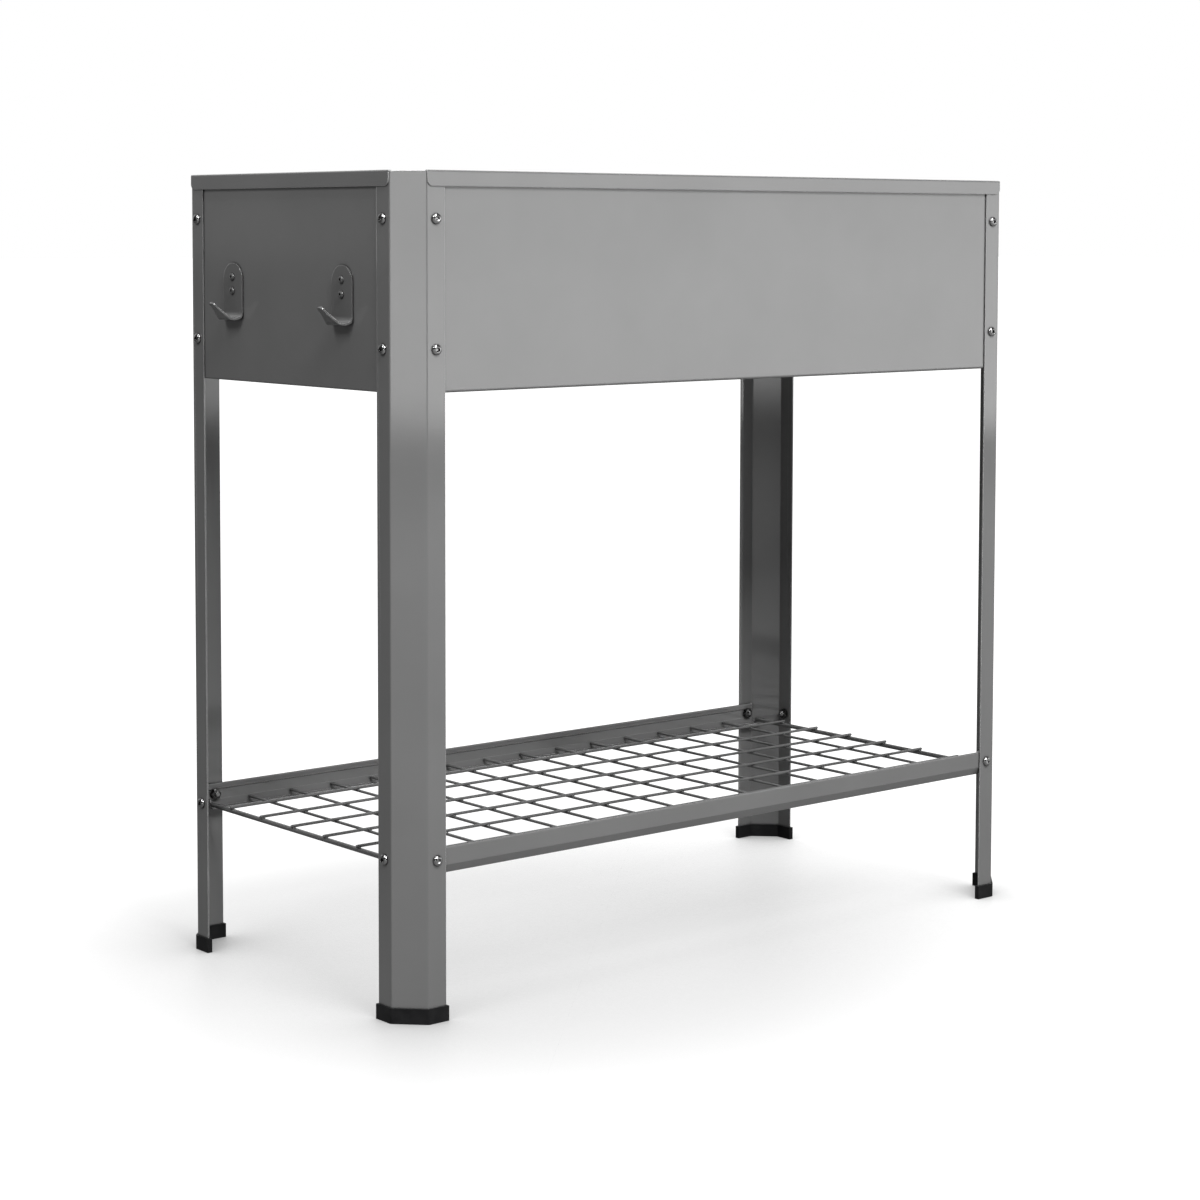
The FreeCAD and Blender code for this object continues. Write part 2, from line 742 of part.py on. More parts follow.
def make_fasteners():
    bolt = make_screw("bolt_pattern_piece", dim("bolt"), dim("bolt_length"),
                      dim("head_diameter"), dim("head_height"), dim("bolt_key"))
    screw = make_screw("screw_pattern_piece", dim("screw"), dim("screw_length"),
                       dim("screw_head"), dim("screw_head_height"), dim("screw_key"))
    nut = make_nut("nut_pattern_piece", dim("nut_flats"), dim("nut_height"),
                   dim("bolt") + 2 * dim("thread_fit"))
    screw_nut = make_nut("screw_nut_pattern_piece", dim("screw_nut_flats"),
                         dim("screw_nut_height"), dim("screw") + 2 * dim("thread_fit"))
    nothing = Size.of(0)
    box_levels = [dim("low_bolt_z"), dim("high_bolt_z")]
    shelf_level = [dim("shelf_bolt_z")]
    rail_inside = leg_sheet + rail_sheet
    long_sides = ("front", "back")
    ends = ("left_end", "right_end")
    return [
        scatter("panel_bolts", bolt, bolt_spots(SIDES, box_levels, nothing)),
        scatter("panel_nuts", nut, bolt_spots(SIDES, box_levels, panel_inside)),
        scatter("rail_bolts", bolt, bolt_spots(long_sides, shelf_level, nothing)),
        scatter("rail_nuts", nut, bolt_spots(long_sides, shelf_level, rail_inside)),
        scatter("shelf_stop_bolts", bolt, bolt_spots(ends, shelf_level, nothing)),
        scatter("shelf_stop_nuts", nut, bolt_spots(ends, shelf_level, leg_sheet)),
        scatter("hook_screws", screw, hook_screw_spots(leg_sheet - dim("hook_sheet"))),
        scatter("hook_nuts", screw_nut, hook_screw_spots(panel_inside)),
    ]


# ---- the whole ---------------------------------------------------------------------------

def make_nodes():
    nodes = [make_leg(where) for where in CORNERS]
    nodes += [make_foot(where) for where in CORNERS]
    nodes += [make_panel(side) for side in SIDES]
    nodes += [make_base(), make_stiffener("left", -1), make_stiffener("right", 1)]
    nodes += [make_hook("front", 1), make_hook("back", -1)]
    nodes += [make_rail("front"), make_rail("back")]
    nodes += [make_end_rod("left", -1), make_end_rod("right", 1)]
    nodes += [make_cross_wires(), make_long_wires()]
    nodes += make_fasteners()
    return nodes


def check(nodes):
    for thing in doc.Objects:
        if "Invalid" in thing.State or "Error" in thing.State:
            raise RuntimeError(f"{thing.Name}: {thing.State}")
    for node in nodes:
        if node.Shape.isNull() or not node.Shape.isValid() or not node.Shape.Solids:
            raise RuntimeError(f"{node.Label}: no valid solid")


def write(nodes):
    os.makedirs("parts", exist_ok=True)
    for node in nodes:
        node.Shape.exportStep(f"parts/{node.Label}.step")
        print(f"{node.Label}: {len(node.Shape.Solids)} solid(s), {node.Shape.Volume:.0f} mm3")


all_nodes = make_nodes()
doc.recompute()
check(all_nodes)
write(all_nodes)
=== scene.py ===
"""The looks of the raised planter: finishes, fasteners, the wire shelf and the studio around it.

Metres, +Z up. The long front faces -Y, the end with the two hooks faces -X.
"""
import math
import random

import bmesh
import bpy
from mathutils import Matrix, Vector


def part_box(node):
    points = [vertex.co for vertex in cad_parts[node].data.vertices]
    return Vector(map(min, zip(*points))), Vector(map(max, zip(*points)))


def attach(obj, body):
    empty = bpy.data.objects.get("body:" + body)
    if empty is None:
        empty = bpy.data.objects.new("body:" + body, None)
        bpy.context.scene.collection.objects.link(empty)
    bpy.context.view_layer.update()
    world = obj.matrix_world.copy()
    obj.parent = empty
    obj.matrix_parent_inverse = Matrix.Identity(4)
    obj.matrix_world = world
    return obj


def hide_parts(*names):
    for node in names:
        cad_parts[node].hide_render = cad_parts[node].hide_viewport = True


MM = 0.001
SEED = 7

# The room's light on the camera's side, and on the side behind the planter: how far a
# direction points to the back, as a cosine, and how bright it is there.
ROOM_FRONT = (0.1, 0.10)
ROOM_BACK = (0.8, 1.0)

# Softboxes: name, place, what it points at, width, height, brightness.
SOFTBOXES = (
    ("front_light", (3.4, -4.4, 0.7), (0.0, 0.0, 0.7), 5.4, 1.1, 3.2),
    ("corner_light", (-4.3, -3.5, 0.75), (0.0, 0.0, 0.75), 1.8, 1.1, 3.4),
    ("key_light", (-0.4, -3.2, 3.6), (0.0, 0.0, 0.4), 1.7, 1.7, 36.0),
    ("side_light", (-3.2, -0.5, 3.4), (0.0, 0.0, 0.4), 1.4, 1.4, 16.0),
    ("top_light", (0.0, 0.0, 5.0), (0.0, 0.0, 0.0), 3.0, 3.0, 6.0),
)

# The floor: how far it reaches from the middle, and its own grey.
FLOOR_REACH = 60.0
FLOOR_GREY = 0.1

# The floor's own glow, as the camera sees it, which carries a painted shadow: where it is least,
# then how far from there and how much, twice, and how far round a foot it is darker as a painted
# contact shadow.
SHADE_MIDDLE = (-0.15, -0.04, 0.0)
SHADE_NEAR = (0.24, 0.66)
SHADE_FAR = (0.74, 1.0)
CONTACT_REACH = 0.3

# The floor's glow, as it lights the planter: how far back and how much, in front and behind.
FLOOR_BOUNCE_FRONT = (-1.0, 0.35)
FLOOR_BOUNCE_BACK = (0.6, 0.0)

# The camera stands at the left of the front, a little under the rim's height. Its place is
# measured from the middle of the legs, on the floor.
CAMERA_PLACE = (-1.8693, -2.2242, 0.7437)
CAMERA_YAW = 0.6943
CAMERA_PITCH = 0.0680
CAMERA_ROLL = 0.0021
CAMERA_LENS = 81.4
CAMERA_SENSOR = 36.0
CAMERA_SHIFT_Y = -0.1533
CAMERA_REACH = 200.0

# Powder coat: scales are in features a metre, for its tone, gloss, orange peel and grain.
CLOUD_SCALE = 9.0
FILM_SCALE = 60.0
PEEL_SCALE = 520.0
PEEL_HEIGHT = 0.02 * MM
GRAIN_SCALE = 3200.0
GRAIN_HEIGHT = 0.004 * MM

# Its edges look rounded, and carry a painted highlight from where the rounded and the flat normal
# are this alike to where they are that alike. Painted shade darkens it where another surface is
# within reach.
EDGE_RADIUS = 1.2 * MM
EDGE_START = 0.97
EDGE_FULL = 0.75
CREVICE_REACH = 5 * MM
CREVICE_START = 0.85
CREVICE_FULL = 0.45

# Moulded plastic, with dust and grain, and plated steel, with an uneven film and fine marks.
DUST_SCALE = 70.0
LEATHER_SCALE = 1500.0
LEATHER_HEIGHT = 0.03 * MM
PLATING_SCALE = 300.0
MARK_SCALE = 2500.0
MARK_HEIGHT = 0.01 * MM

# Bolts, hook screws and nuts. Each ring of a turned part has TURNED_POINTS points, and a
# screw's dome has DOME_STEPS rings.
BOLT = {"shank": 6 * MM, "length": 10 * MM, "head": 10.5 * MM, "rise": 3.3 * MM, "key": 4 * MM}
SCREW = {"shank": 4 * MM, "length": 9 * MM, "head": 7.6 * MM, "rise": 2.4 * MM, "key": 2.5 * MM}
NUT = {"flats": 10 * MM, "height": 5 * MM, "bore": 6.1 * MM}
SCREW_NUT = {"flats": 7 * MM, "height": 3.2 * MM, "bore": 4.1 * MM}
THREAD_PITCH = 1.0 * MM
THREAD_DEPTH = 0.35 * MM
NUT_CHAMFER = 0.4 * MM
TURNED_POINTS = 36
DOME_STEPS = 8

# Wires: points round one and steps along it, how far it strays sideways, in waves of so many
# radians and such a share, and where the rings of its rounded ends are, in radians.
WIRE_POINTS = 14
WIRE_STEPS = 28
WIRE_SWAY = 0.45 * MM
WIRE_WAVES = ((5, 1.0), (11, 0.6))
WIRE_END_TURNS = (0.3, 0.8, 1.2)

# Welds: their size, points round one, and where its rings are, in degrees.
WELD_RADIUS = 2.3 * MM
WELD_HEIGHT = 1.3 * MM
WELD_POINTS = 12
WELD_SLANTS = (-70, -40, -10, 10, 40, 70)

# The pieces made here look sharp where they turn by more than this, in degrees.
SHARP_TURN = 38

SHEET_NODES = (
    "leg_front_left", "leg_front_right", "leg_back_right", "leg_back_left",
    "front_panel", "right_end_panel", "back_panel", "left_end_panel",
    "base_panel", "base_stiffener_left", "base_stiffener_right",
    "shelf_rail_front", "shelf_rail_back",
)
HOOK_NODES = ("hook_front", "hook_back")
FOOT_NODES = ("foot_front_left", "foot_front_right", "foot_back_right", "foot_back_left")


# ---------------------------------------------------------------- materials

def new_material(name):
    """A new material with a bare Principled shader, and its nodes and links."""
    material = bpy.data.materials.new(name)
    material.use_nodes = True
    tree = material.node_tree
    shader = tree.nodes["Principled BSDF"]
    return material, tree.nodes, tree.links, shader


def noise(nodes, links, place, scale, detail=2.0):
    """A noise texture in the object's own coordinates. Scale is in features a metre."""
    texture = nodes.new("ShaderNodeTexNoise")
    texture.inputs["Scale"].default_value = scale
    texture.inputs["Detail"].default_value = detail
    links.new(place.outputs["Object"], texture.inputs["Vector"])
    return texture.outputs["Fac"]


def ramp(nodes, links, source, stops):
    """A colour ramp over a 0 to 1 source. Each stop is a position and a grey or a colour."""
    node = nodes.new("ShaderNodeValToRGB")
    while len(node.color_ramp.elements) < len(stops):
        node.color_ramp.elements.new(0.5)
    for element, (position, tone) in zip(node.color_ramp.elements, stops):
        rgb = (tone,) * 3 if isinstance(tone, float) else tone
        element.position = position
        element.color = (*rgb, 1.0)
    links.new(source, node.inputs["Fac"])
    return node.outputs["Color"]


def remap(nodes, links, source, low, high):
    """A 0 to 1 source stretched to low to high."""
    node = nodes.new("ShaderNodeMapRange")
    node.inputs["To Min"].default_value = low
    node.inputs["To Max"].default_value = high
    links.new(source, node.inputs["Value"])
    return node.outputs["Result"]


def bump(nodes, links, shader, source, distance, under=None):
    """Bumps of a height in metres from a 0 to 1 source, over the bumps that lie under them."""
    node = nodes.new("ShaderNodeBump")
    node.inputs["Distance"].default_value = distance
    node.inputs["Strength"].default_value = 1.0
    links.new(source, node.inputs["Height"])
    if under is not None:
        links.new(under, node.inputs["Normal"])
    links.new(node.outputs["Normal"], shader.inputs["Normal"])
    return node.outputs["Normal"]


def falling(nodes, links, source, none, full):
    """0 where a source is at one value, and 1 where it has fallen to another."""
    node = nodes.new("ShaderNodeMapRange")
    node.inputs["From Min"].default_value = none
    node.inputs["From Max"].default_value = full
    links.new(source, node.inputs["Value"])
    return node.outputs["Result"]


def edge_mask(nodes, links):
    """A normal that rounds the shape's edges over, and a mask that is 1 along them, for a painted
    highlight.
    """
    rounded = nodes.new("ShaderNodeBevel")
    rounded.samples = 6
    rounded.inputs["Radius"].default_value = EDGE_RADIUS
    straight = nodes.new("ShaderNodeNewGeometry")
    match = nodes.new("ShaderNodeVectorMath")
    match.operation = "DOT_PRODUCT"
    links.new(rounded.outputs["Normal"], match.inputs[0])
    links.new(straight.outputs["Normal"], match.inputs[1])
    highlighted = falling(nodes, links, match.outputs["Value"], EDGE_START, EDGE_FULL)
    return rounded.outputs["Normal"], highlighted


def crevice_mask(nodes, links):
    """A mask that is 1 where another surface is close, as beside a bolt or under a lip, where the
    coat gets painted shade.
    """
    corners = nodes.new("ShaderNodeAmbientOcclusion")
    corners.samples = 6
    corners.inputs["Distance"].default_value = CREVICE_REACH
    return falling(nodes, links, corners.outputs["AO"], CREVICE_START, CREVICE_FULL)


def mix_tones(nodes, links, share, colour, grey):
    """A colour that turns to a grey by a share."""
    node = nodes.new("ShaderNodeMix")
    node.data_type = "RGBA"
    from_colour, to_colour = [socket for socket in node.inputs if socket.type == "RGBA"]
    links.new(share, node.inputs["Factor"])
    links.new(colour, from_colour)
    to_colour.default_value = (grey, grey, grey, 1.0)
    return next(socket for socket in node.outputs if socket.type == "RGBA")


def powder_coat(name, dark, light, edge, roughness):
    """Semi-gloss grey paint baked on steel.

    It has faint clouds of tone, a painted highlight along its edges, painted shade in its crevices,
    orange peel and fine grain.
    """
    material, nodes, links, shader = new_material(name)
    place = nodes.new("ShaderNodeTexCoord")
    clouds = noise(nodes, links, place, CLOUD_SCALE, detail=3.0)
    tone = ramp(nodes, links, clouds, ((0.3, dark), (0.7, light)))
    rounded, along_edges = edge_mask(nodes, links)
    # Painted highlight: the colour turns to the edge grey along the edges.
    highlighted = mix_tones(nodes, links, along_edges, tone, edge)
    # Painted shade: where another surface is close, the colour darkens to a quarter of the dark
    # grey.
    crevice_shaded = mix_tones(nodes, links, crevice_mask(nodes, links), highlighted, dark / 4)
    links.new(crevice_shaded, shader.inputs["Base Color"])
    film = noise(nodes, links, place, FILM_SCALE, detail=3.0)
    links.new(remap(nodes, links, film, *roughness), shader.inputs["Roughness"])
    peel = noise(nodes, links, place, PEEL_SCALE, detail=1.0)
    waves = bump(nodes, links, shader, peel, PEEL_HEIGHT, under=rounded)
    grain = noise(nodes, links, place, GRAIN_SCALE, detail=1.0)
    bump(nodes, links, shader, grain, GRAIN_HEIGHT, under=waves)
    shader.inputs["Specular IOR Level"].default_value = 0.5
    return material


def moulded_plastic(name):
    """Black moulded plastic with a fine leathery grain and dusty patches."""
    material, nodes, links, shader = new_material(name)
    place = nodes.new("ShaderNodeTexCoord")
    dust = noise(nodes, links, place, DUST_SCALE, detail=4.0)
    tones = ((0.45, (0.004, 0.004, 0.0045)), (0.75, (0.009, 0.009, 0.0095)))
    links.new(ramp(nodes, links, dust, tones), shader.inputs["Base Color"])
    links.new(remap(nodes, links, dust, 0.42, 0.62), shader.inputs["Roughness"])
    leather = noise(nodes, links, place, LEATHER_SCALE)
    bump(nodes, links, shader, leather, LEATHER_HEIGHT)
    shader.inputs["Specular IOR Level"].default_value = 0.15
    return material


def plated_steel(name, tone, roughness):
    """Zinc plated steel: metal with a slightly uneven gloss and fine marks."""
    material, nodes, links, shader = new_material(name)
    place = nodes.new("ShaderNodeTexCoord")
    film = noise(nodes, links, place, PLATING_SCALE, detail=4.0)
    tones = ((0.3, tone * 0.8), (0.7, tone))
    links.new(ramp(nodes, links, film, tones), shader.inputs["Base Color"])
    links.new(remap(nodes, links, film, *roughness), shader.inputs["Roughness"])
    marks = noise(nodes, links, place, MARK_SCALE)
    bump(nodes, links, shader, marks, MARK_HEIGHT)
    shader.inputs["Metallic"].default_value = 1.0
    return material


def give(piece, material):
    """The piece wears one material all over."""
    piece.data.materials.clear()
    piece.data.materials.append(material)


# ---------------------------------------------------------------- studio

def make_camera(middle):
    """A longish lens, nearly level, with the frame shifted down so that the legs look parallel."""
    ahead = Vector((
        math.sin(CAMERA_YAW) * math.cos(CAMERA_PITCH),
        math.cos(CAMERA_YAW) * math.cos(CAMERA_PITCH),
        -math.sin(CAMERA_PITCH),
    ))
    right = Vector((math.cos(CAMERA_YAW), -math.sin(CAMERA_YAW), 0.0))
    upward = right.cross(ahead)
    tilted_right = right * math.cos(CAMERA_ROLL) + upward * math.sin(CAMERA_ROLL)
    tilted_up = upward * math.cos(CAMERA_ROLL) - right * math.sin(CAMERA_ROLL)
    lens = bpy.data.cameras.new("camera")
    lens.lens = CAMERA_LENS
    lens.sensor_width = CAMERA_SENSOR
    lens.shift_y = CAMERA_SHIFT_Y
    lens.clip_end = CAMERA_REACH
    camera = bpy.data.objects.new("camera", lens)
    turn = Matrix((tilted_right, tilted_up, -ahead)).transposed().to_4x4()
    camera.matrix_world = Matrix.Translation(middle + Vector(CAMERA_PLACE)) @ turn
    bpy.context.scene.collection.objects.link(camera)
    bpy.context.scene.camera = camera


def smooth_step(nodes, links, source, first, last):
    """A smooth change from one (place, value) to another."""
    node = nodes.new("ShaderNodeMapRange")
    node.interpolation_type = "SMOOTHSTEP"
    node.inputs["From Min"].default_value, node.inputs["To Min"].default_value = first
    node.inputs["From Max"].default_value, node.inputs["To Max"].default_value = last
    links.new(source, node.inputs["Value"])
    return node.outputs["Result"]


def floor_shade(nodes, links, place):
    """How much the floor glows for the camera, as a painted shadow: less under the planter and
    round its feet.
    """
    away = nodes.new("ShaderNodeVectorMath")
    away.operation = "DISTANCE"
    away.inputs[1].default_value = SHADE_MIDDLE
    links.new(place.outputs["Object"], away.inputs[0])
    lit = smooth_step(nodes, links, away.outputs["Value"], SHADE_NEAR, SHADE_FAR)
    contact = nodes.new("ShaderNodeAmbientOcclusion")
    contact.inputs["Distance"].default_value = CONTACT_REACH
    shade = nodes.new("ShaderNodeMath")
    shade.operation = "MULTIPLY"
    links.new(lit, shade.inputs[0])
    links.new(contact.outputs["AO"], shade.inputs[1])
    return shade.outputs["Value"]


def floor_bounce(nodes, links, place):
    """How much the floor glows for everything else: it lights the planter from the front only."""
    split = nodes.new("ShaderNodeSeparateXYZ")
    links.new(place.outputs["Object"], split.inputs["Vector"])
    back = split.outputs["Y"]
    return smooth_step(nodes, links, back, FLOOR_BOUNCE_FRONT, FLOOR_BOUNCE_BACK)


def floor_material():
    """Plain white, which glows a little so that it stays white far from the lights; its glow for
    the camera carries a painted shadow.
    """
    material, nodes, links, shader = new_material("studio_floor")
    place = nodes.new("ShaderNodeTexCoord")
    path = nodes.new("ShaderNodeLightPath")
    glow = nodes.new("ShaderNodeMix")
    links.new(path.outputs["Is Camera Ray"], glow.inputs["Factor"])
    links.new(floor_bounce(nodes, links, place), glow.inputs["A"])
    links.new(floor_shade(nodes, links, place), glow.inputs["B"])
    links.new(glow.outputs["Result"], shader.inputs["Emission Strength"])
    shader.inputs["Base Color"].default_value = (FLOOR_GREY,) * 3 + (1.0,)
    shader.inputs["Roughness"].default_value = 0.5
    shader.inputs["Specular IOR Level"].default_value = 0.2
    shader.inputs["Emission Color"].default_value = (1.0, 1.0, 1.0, 1.0)
    return material


def make_floor():
    """A wide flat floor."""
    mesh = bpy.data.meshes.new("floor")
    corners = [
        (way_x * FLOOR_REACH, way_y * FLOOR_REACH, 0.0)
        for way_x, way_y in ((-1, -1), (1, -1), (1, 1), (-1, 1))
    ]
    mesh.from_pydata(corners, [], [(0, 1, 2, 3)])
    floor = bpy.data.objects.new("floor", mesh)
    bpy.context.scene.collection.objects.link(floor)
    give(floor, floor_material())


def aim(thing, place, target):
    """Stands a light at a place and turns it to a target."""
    way = Vector(target) - Vector(place)
    turn = way.to_track_quat("-Z", "Y").to_matrix().to_4x4()
    thing.matrix_world = Matrix.Translation(place) @ turn


def make_softbox(name, place, target, width, height, radiance):
    """A rectangular area light of a given brightness."""
    light = bpy.data.lights.new(name, "AREA")
    light.shape = "RECTANGLE"
    light.size = width
    light.size_y = height
    light.energy = radiance * math.pi * width * height
    thing = bpy.data.objects.new(name, light)
    aim(thing, place, target)
    bpy.context.scene.collection.objects.link(thing)


def make_world():
    """A dim room with a brighter wall behind the planter, which the camera sees as plain white."""
    world = bpy.data.worlds.new("studio")
    bpy.context.scene.world = world
    world.use_nodes = True
    nodes, links = world.node_tree.nodes, world.node_tree.links
    room = nodes["Background"]
    way = nodes.new("ShaderNodeTexCoord")
    behind = nodes.new("ShaderNodeVectorMath")
    behind.operation = "DOT_PRODUCT"
    behind.inputs[1].default_value = (math.sin(CAMERA_YAW), math.cos(CAMERA_YAW), 0.0)
    links.new(way.outputs["Generated"], behind.inputs[0])
    lit = smooth_step(nodes, links, behind.outputs["Value"], ROOM_FRONT, ROOM_BACK)
    links.new(lit, room.inputs["Strength"])
    room.inputs["Color"].default_value = (1.0, 1.0, 1.0, 1.0)
    backdrop = nodes.new("ShaderNodeBackground")
    path = nodes.new("ShaderNodeLightPath")
    mix = nodes.new("ShaderNodeMixShader")
    backdrop.inputs["Color"].default_value = (1.0, 1.0, 1.0, 1.0)
    links.new(path.outputs["Is Camera Ray"], mix.inputs["Fac"])
    links.new(room.outputs["Background"], mix.inputs[1])
    links.new(backdrop.outputs["Background"], mix.inputs[2])
    links.new(mix.outputs["Shader"], nodes["World Output"].inputs["Surface"])


def make_studio(middle):
    """Camera, floor and light."""
    bpy.context.scene.view_settings.view_transform = "Standard"
    make_camera(middle)
    make_floor()
    make_world()
    for softbox in SOFTBOXES:
        make_softbox(*softbox)


# ---------------------------------------------------------------- meshes

def circle(radius, height, count=TURNED_POINTS):
    """A ring of points round +Z."""
    turns = [2 * math.pi * step / count for step in range(count)]
    return [Vector((radius * math.cos(turn), radius * math.sin(turn), height)) for turn in turns]


def hexagon(flats, height, slope=0.0, shoulder=0.0):
    """A hexagonal ring round +Z. Its corners drop by a slope outside a shoulder radius."""
    points = []
    for step in range(TURNED_POINTS):
        turn = 2 * math.pi * step / TURNED_POINTS
        past_flat = turn % (math.pi / 3) - math.pi / 6
        radius = flats / 2 / math.cos(past_flat)
        drop = max(0.0, radius - shoulder) * slope
        points.append(Vector((radius * math.cos(turn), radius * math.sin(turn), height - drop)))
    return points


def skin(rings, place=Matrix.Identity(4), ring_shaped=False):
    """Points and faces of a surface through rings of equally many points.

    Its ends are closed, or joined to each other where it is ring shaped.
    """
    count = len(rings[0])
    points = [place @ point for ring in rings for point in ring]
    faces = []
    rows = len(rings) if ring_shaped else len(rings) - 1
    for row in range(rows):
        low = row * count
        high = (row + 1) % len(rings) * count
        for step in range(count):
            after = (step + 1) % count
            faces.append((low + step, low + after, high + after, high + step))
    if not ring_shaped:
        faces.append(tuple(reversed(range(count))))
        faces.append(tuple(range(len(points) - count, len(points))))
    return points, faces


def make_piece(name, shells, material, body, slot, *nodes):
    """One piece of several closed shells, which rides on a body and stands for CAD nodes."""
    points = []
    faces = []
    for shell_points, shell_faces in shells:
        start = len(points)
        points += shell_points
        faces += [tuple(start + corner for corner in face) for face in shell_faces]
    mesh = bpy.data.meshes.new(name)
    mesh.from_pydata(points, [], faces)
    mesh.shade_smooth()
    mesh.set_sharp_from_angle(angle=math.radians(SHARP_TURN))
    piece = bpy.data.objects.new(name, mesh)
    bpy.context.scene.collection.objects.link(piece)
    give(piece, material)
    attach(piece, body)
    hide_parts(*nodes)


def lumps(node_name):
    """The lowest and highest corner of each separate solid of a CAD node."""
    shape = bmesh.new()
    shape.from_mesh(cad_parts[node_name].data)
    bmesh.ops.remove_doubles(shape, verts=shape.verts, dist=1e-6)
    waiting = set(shape.verts)
    boxes = []
    for seed in shape.verts:
        if seed not in waiting:
            continue
        waiting.remove(seed)
        lump = [seed]
        for vert in lump:
            fresh = {edge.other_vert(vert) for edge in vert.link_edges} & waiting
            waiting -= fresh
            lump += fresh
        low = Vector([min(vert.co[axis] for vert in lump) for axis in range(3)])
        high = Vector([max(vert.co[axis] for vert in lump) for axis in range(3)])
        boxes.append((low, high))
    shape.free()
    return boxes


# ---------------------------------------------------------------- fasteners

def screw_rings(size):
    """A button head screw round +Z, its head over z = 0, with a thread and a hexagon socket."""
    crest = size["shank"] / 2
    root = crest - THREAD_DEPTH
    rings = [circle(root * 0.75, -size["length"])]
    depth = size["length"] - THREAD_PITCH
    while depth > THREAD_PITCH:
        rings += [circle(root, -depth), circle(crest, THREAD_PITCH / 2 - depth)]
        depth -= THREAD_PITCH
    rings += [circle(crest, -THREAD_PITCH / 4), circle(crest, 0.0)]
    head = size["head"] / 2
    edge = size["rise"] * 0.14
    crown = size["key"] / math.sqrt(3) + 0.35 * MM
    rings += [circle(head - edge, 0.0), circle(head, edge)]
    for step in range(1, DOME_STEPS + 1):
        turn = math.pi / 2 * step / DOME_STEPS
        radius = crown + (head - crown) * math.cos(turn)
        rings.append(circle(radius, edge + (size["rise"] - edge) * math.sin(turn)))
    rings += [
        circle(crown - 0.2 * MM, size["rise"]),
        hexagon(size["key"], size["rise"] - 0.25 * MM),
        hexagon(size["key"], size["rise"] * 0.4),
        circle(0.3 * MM, size["rise"] * 0.4 - 0.3 * MM),
    ]
    return rings


def nut_rings(size):
    """A hexagon nut below z = 0, where its bearing face is, with both ends chamfered."""
    slope = math.tan(math.radians(30))
    shoulder = size["flats"] / 2 * 0.95
    bore = size["bore"] / 2
    bottom = -size["height"]
    upper = hexagon(size["flats"], 0.0, slope, shoulder)
    lower = [Vector((point.x, point.y, bottom - point.z)) for point in upper]
    return [
        circle(bore, bottom + NUT_CHAMFER),
        circle(bore + NUT_CHAMFER, bottom),
        circle(shoulder, bottom),
        lower,
        upper,
        circle(shoulder, 0.0),
        circle(bore + NUT_CHAMFER, 0.0),
        circle(bore, -NUT_CHAMFER),
    ]


def stand(box, middle, pick, rise):
    """A fastener's place, with its +Z out of the planter's side, and the sides of its box.

    Its axis is the side of the box that pick chooses: the longest for a screw, and the
    shortest for a nut. Rise is how far it stands out beyond its bearing face.
    """
    low, high = box
    spans = high - low
    centre = (low + high) / 2
    axis = pick((0, 1), key=lambda side: spans[side])
    way = 1.0 if centre[axis] > middle[axis] else -1.0
    outward = Vector((0.0, 0.0, 0.0))
    outward[axis] = way
    upward = Vector((0.0, 0.0, 1.0))
    place = centre.copy()
    place[axis] += way * (spans[axis] / 2 - rise)
    turn = Matrix((upward.cross(outward), upward, outward)).transposed().to_4x4()
    return Matrix.Translation(place) @ turn, spans


def make_screws(name, node_name, size, material, slot):
    """Screws or bolts in the places of a CAD node's, each tightened to its own angle."""
    chance = random.Random(SEED + len(node_name))
    shells = []
    for box in lumps(node_name):
        place, _ = stand(box, legs_middle, max, size["rise"])
        spin = Matrix.Rotation(chance.uniform(0.0, math.pi / 3), 4, "Z")
        shells.append(skin(screw_rings(size), place @ spin))
    make_piece(name, shells, material, "frame", slot, node_name)


def make_nuts(name, node_name, size, material):
    """Nuts in the places of a CAD node's, turned as they are: upright ones have a corner on top."""
    shells = []
    for box in lumps(node_name):
        place, spans = stand(box, legs_middle, min, 0.0)
        upright = spans.z > size["flats"] * 1.05
        spin = Matrix.Rotation(math.pi / 6 if upright else 0.0, 4, "Z")
        shells.append(skin(nut_rings(size), place @ spin, ring_shaped=True))
    make_piece(name, shells, material, "frame", "nut_steel", node_name)


# ---------------------------------------------------------------- wire shelf

def wire_stops(half, radius):
    """Places along a round bar, from its middle, and its radius there: both ends are rounded."""
    end = []
    for turn in WIRE_END_TURNS:
        end.append((radius * (1 - math.cos(turn)) - half, radius * math.sin(turn)))
    inner = half - radius
    straight = [
        (inner * (2 * step / WIRE_STEPS - 1), radius) for step in range(WIRE_STEPS + 1)
    ]
    return end + straight + [(-along, size) for along, size in reversed(end)]


def wire(box, chance, sway):
    """A round bar that fills its box and strays a little sideways between its ends."""
    low, high = box
    spans = high - low
    centre = (low + high) / 2
    axis = 0 if spans.x > spans.y else 1
    half = spans[axis] / 2
    sideways = Vector((0.0, 0.0, 0.0))
    sideways[1 - axis] = 1.0
    ahead = Vector((0.0, 0.0, 0.0))
    ahead[axis] = 1.0
    upward = Vector((0.0, 0.0, 1.0))
    waves = [(turns, size, chance.uniform(0.0, 2 * math.pi)) for turns, size in WIRE_WAVES]
    most = sum(size for _, size in WIRE_WAVES)
    rings = []
    for along, size in wire_stops(half, spans.z / 2):
        share = along / half
        wave = sum(height * math.sin(turns * share + phase) for turns, height, phase in waves)
        middle = centre + ahead * along + sideways * (sway * (1 - share ** 4) * wave / most)
        ring = [
            middle + sideways * point.x + upward * point.y
            for point in circle(size, 0.0, WIRE_POINTS)
        ]
        rings.append(ring if axis == 1 else ring[::-1])
    return skin(rings)


def weld(spot, chance):
    """A flattened bead of weld where two wires cross."""
    size = chance.uniform(0.8, 1.15)
    rings = []
    for degrees in WELD_SLANTS:
        slant = math.radians(degrees)
        radius = size * WELD_RADIUS * math.cos(slant)
        rings.append(circle(radius, size * WELD_HEIGHT * math.sin(slant), WELD_POINTS))
    return skin(rings, Matrix.Translation(spot))


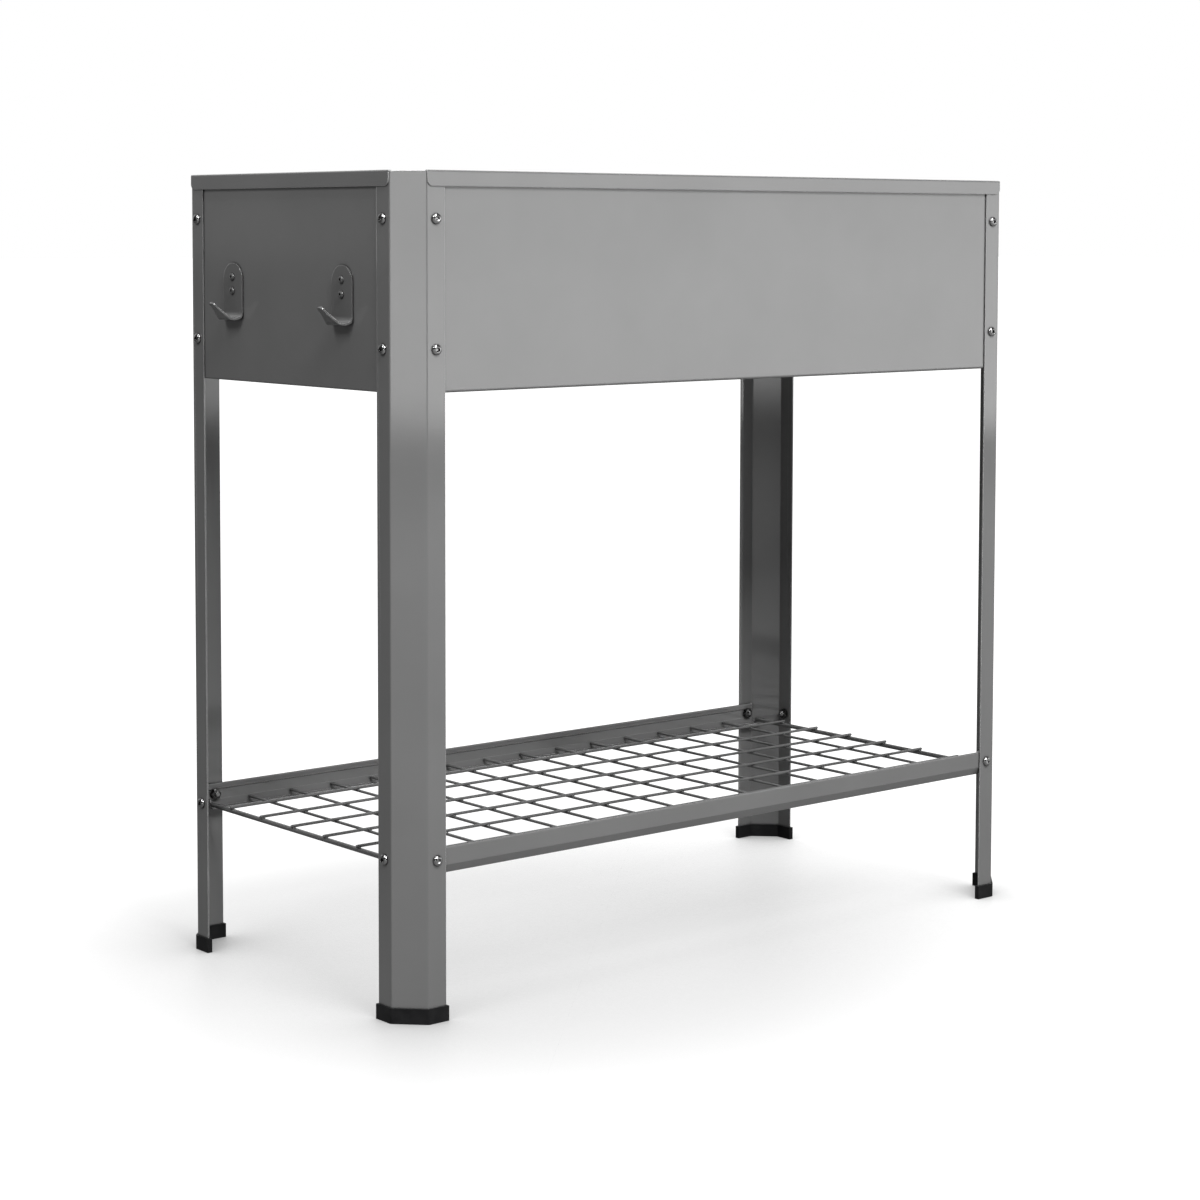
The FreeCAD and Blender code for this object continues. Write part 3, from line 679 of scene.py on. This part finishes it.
def make_welds(long_wires, crossed, chance):
    """A bead of weld under each long wire where it crosses another bar."""
    beads = []
    for long_low, long_high in long_wires:
        for cross_low, cross_high in crossed:
            x = (cross_low.x + cross_high.x) / 2
            y = (long_low.y + long_high.y) / 2
            beads.append(weld((x, y, long_low.z), chance))
    return beads


def make_wire_shelf(material):
    """Two end rods, the cross wires and the long wires on top of them, welded together."""
    chance = random.Random(SEED)
    cross_wires = lumps("shelf_cross_wires")
    long_wires = lumps("shelf_long_wires")
    rods = lumps("shelf_end_rod_left") + lumps("shelf_end_rod_right")
    cross_shells = [wire(box, chance, WIRE_SWAY) for box in cross_wires]
    long_shells = [wire(box, chance, WIRE_SWAY) for box in long_wires]
    long_shells += make_welds(long_wires, cross_wires + rods, chance)
    rod_shells = [wire(box, chance, 0.0) for box in rods]
    for name, shells, nodes in (
        ("cross_wires", cross_shells, ["shelf_cross_wires"]),
        ("long_wires", long_shells, ["shelf_long_wires"]),
        ("end_rods", rod_shells, ["shelf_end_rod_left", "shelf_end_rod_right"]),
    ):
        make_piece(name, shells, material, "wire_shelf", "painted_wire", *nodes)


# ---------------------------------------------------------------- planter

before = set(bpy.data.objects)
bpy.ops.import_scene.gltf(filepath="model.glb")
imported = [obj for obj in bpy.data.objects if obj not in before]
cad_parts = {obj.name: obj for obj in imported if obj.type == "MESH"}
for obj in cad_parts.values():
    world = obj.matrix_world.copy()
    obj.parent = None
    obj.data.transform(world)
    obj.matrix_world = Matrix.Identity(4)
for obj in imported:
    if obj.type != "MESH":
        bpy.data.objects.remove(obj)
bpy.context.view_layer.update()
first_leg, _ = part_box("leg_front_left")
_, last_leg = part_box("leg_back_right")
legs_middle = Vector(((first_leg.x + last_leg.x) / 2, (first_leg.y + last_leg.y) / 2, 0.0))
make_studio(legs_middle)

# Each coat's edge grey is the tone of its painted highlight along the edges.
paint = powder_coat("grey_powder_coat", 0.104, 0.114, edge=0.42, roughness=(0.03, 0.06))
# The hooks wear a darker copy of the panels' coat, with a weaker edge highlight: painted shade on
# the same paint.
hook_paint_darkened = powder_coat("grey_hook_coat_darkened", 0.082, 0.092, edge=0.12, roughness=(0.08, 0.14))
wire_paint = powder_coat("grey_wire_coat", 0.07, 0.085, edge=0.12, roughness=(0.14, 0.22))
screw_paint = powder_coat("grey_screw_coat", 0.045, 0.06, edge=0.06, roughness=(0.15, 0.25))
plastic = moulded_plastic("black_foot_plastic")
bolt_steel = plated_steel("bright_bolt_steel", 0.27, roughness=(0.08, 0.16))
nut_steel = plated_steel("dull_nut_steel", 0.09, roughness=(0.2, 0.35))

for node_names, material in (
    (SHEET_NODES, paint),
    (HOOK_NODES, hook_paint_darkened),
    (FOOT_NODES, plastic),
):
    for node_name in node_names:
        give(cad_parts[node_name], material)

for piece_name, node_name in (
    ("box_bolts", "panel_bolts"),
    ("low_bolts", "rail_bolts"),
    ("end_bolts", "shelf_stop_bolts"),
):
    make_screws(piece_name, node_name, BOLT, bolt_steel, "bolt_steel")
make_screws("small_screws", "hook_screws", SCREW, screw_paint, "painted_screw")
for piece_name, node_name in (
    ("box_nuts", "panel_nuts"),
    ("low_nuts", "rail_nuts"),
    ("end_nuts", "shelf_stop_nuts"),
):
    make_nuts(piece_name, node_name, NUT, nut_steel)
make_nuts("small_nuts", "hook_nuts", SCREW_NUT, nut_steel)
make_wire_shelf(wire_paint)
